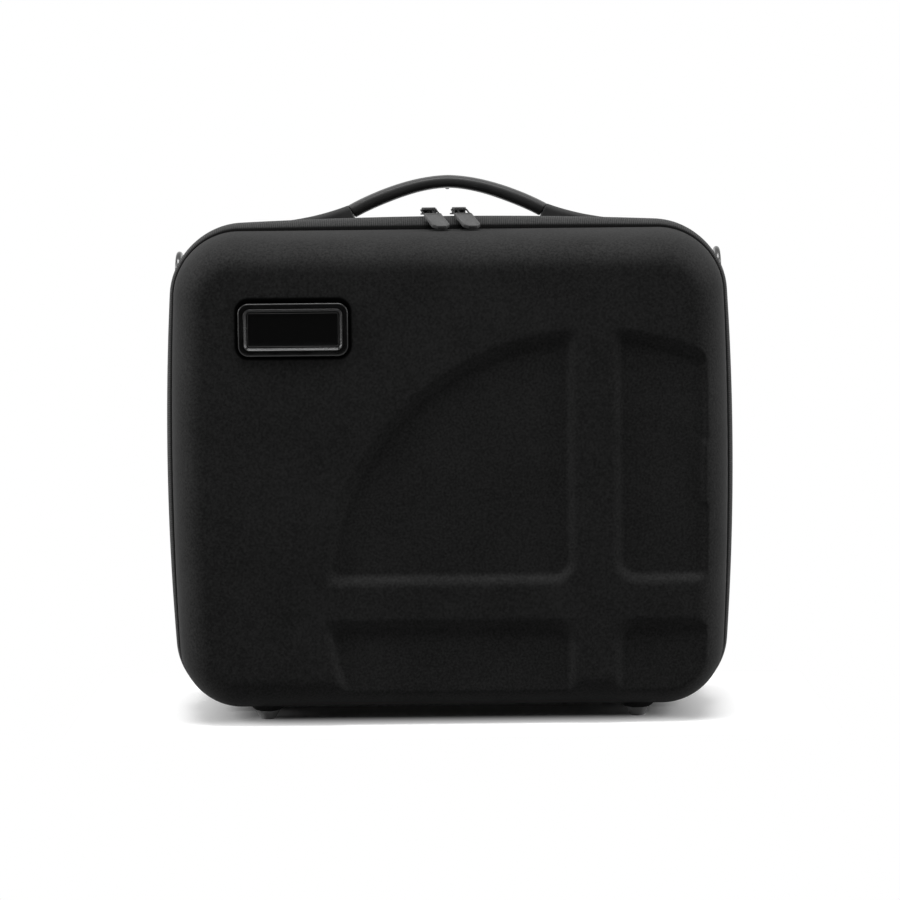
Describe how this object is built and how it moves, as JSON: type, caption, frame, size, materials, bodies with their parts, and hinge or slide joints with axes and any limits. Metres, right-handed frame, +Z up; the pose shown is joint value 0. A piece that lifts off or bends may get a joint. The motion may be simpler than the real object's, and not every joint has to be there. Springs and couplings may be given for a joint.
{
  "type": "microphone case",
  "caption": "Moulded zip case with a hinged lid, arched handle, sliding zip pulls, strap rings, feet and a foam insert with cavities.",
  "frame": {"origin": "on the floor, under the middle of the case's bounding box", "axes": "+X to the right seen from the lid, +Y from the lid to the rear shell, +Z up"},
  "size_m": [0.35, 0.1448, 0.3297],
  "materials": {
    "shell_fabric": "black woven laminate, matt",
    "lining_fabric": "brushed tricot",
    "binding_tape": "woven",
    "zip_tape": "ribbed weave",
    "zip_coil": "satin",
    "foam": "open-cell foam, matt",
    "grip_rubber": "satin",
    "handle_plastic": "fine grain",
    "steel": "zinc plated",
    "rivet_metal": "black",
    "webbing": "woven",
    "foot_rubber": "matt",
    "badge_plastic": "fine grain",
    "plaque_gloss": "high gloss",
    "slider_metal": "black, satin",
    "pull_rubber": "matt",
    "loop_metal": "black, satin",
    "ring_metal": "black nickel, glossy"
  },
  "bodies": {
    "case": {"body_shell": "shell_fabric", "body_lining": "lining_fabric", "body_seam_binding": "binding_tape", "zip_tape_body": "zip_tape", "zip_coil_body": "zip_coil", "hinge_strip": "zip_tape", "foam_base_pad": "foam", "foam_insert": "foam", "handle_grip": "grip_rubber", "handle_core": "steel", "handle_mount_left": "handle_plastic", "handle_mount_right": "handle_plastic", "handle_plate_left": "steel", "handle_plate_right": "steel", "handle_screws": "steel", "ring_tab_left": "webbing", "ring_tab_right": "webbing", "ring_plate_left": "steel", "ring_plate_right": "steel", "ring_rivets": "rivet_metal", "body_feet": "foot_rubber", "body_foot_screws": "steel", "body_foot_nuts": "steel"},
    "lid": {"lid_shell": "shell_fabric", "lid_lining": "lining_fabric", "lid_seam_binding": "binding_tape", "zip_tape_lid": "zip_tape", "zip_coil_lid": "zip_coil", "lid_foam": "foam", "badge_frame": "badge_plastic", "badge_plaque": "plaque_gloss", "badge_push_nuts": "steel", "lid_feet": "foot_rubber", "lid_foot_screws": "steel", "lid_foot_nuts": "steel"},
    "slider_left": {"slider_left": "slider_metal"},
    "slider_right": {"slider_right": "slider_metal"},
    "pull_left": {"pull_left": "pull_rubber", "pull_loop_left": "loop_metal"},
    "pull_right": {"pull_right": "pull_rubber", "pull_loop_right": "loop_metal"},
    "d_ring_left": {"d_ring_left": "ring_metal"},
    "d_ring_right": {"d_ring_right": "ring_metal"}
  },
  "joints": [
    {"name": "lid_hinge", "type": "hinge", "parent": "case", "child": "lid", "pos_m": [0, -0.0036, 0.0023], "axis": [1, 0, 0], "range_deg": [0, 165], "deforming": ["hinge_strip"]},
    {"name": "zip_slide_left", "type": "slide", "parent": "lid", "child": "slider_left", "axis": [-1, 0, -0.008], "range_m": [0, 0.08]},
    {"name": "zip_slide_right", "type": "slide", "parent": "lid", "child": "slider_right", "axis": [1, 0, -0.0064], "range_m": [0, 0.08]},
    {"name": "pull_left_swing", "type": "hinge", "parent": "slider_left", "child": "pull_left", "pos_m": [-0.0101, -0.0062, 0.30858], "axis": [-0.9537, -0.3007, 0], "range_deg": [0, 150]},
    {"name": "pull_right_swing", "type": "hinge", "parent": "slider_right", "child": "pull_right", "pos_m": [0.0055, -0.0062, 0.30859], "axis": [-0.9537, -0.3007, 0], "range_deg": [0, 150]},
    {"name": "ring_left_swing", "type": "hinge", "parent": "case", "child": "d_ring_left", "pos_m": [-0.1683, 0.0294, 0.268], "axis": [0, -1, 0], "range_deg": [-20, 150]},
    {"name": "ring_right_swing", "type": "hinge", "parent": "case", "child": "d_ring_right", "pos_m": [0.1683, 0.0294, 0.268], "axis": [0, 1, 0], "range_deg": [-20, 150]}
  ]
}
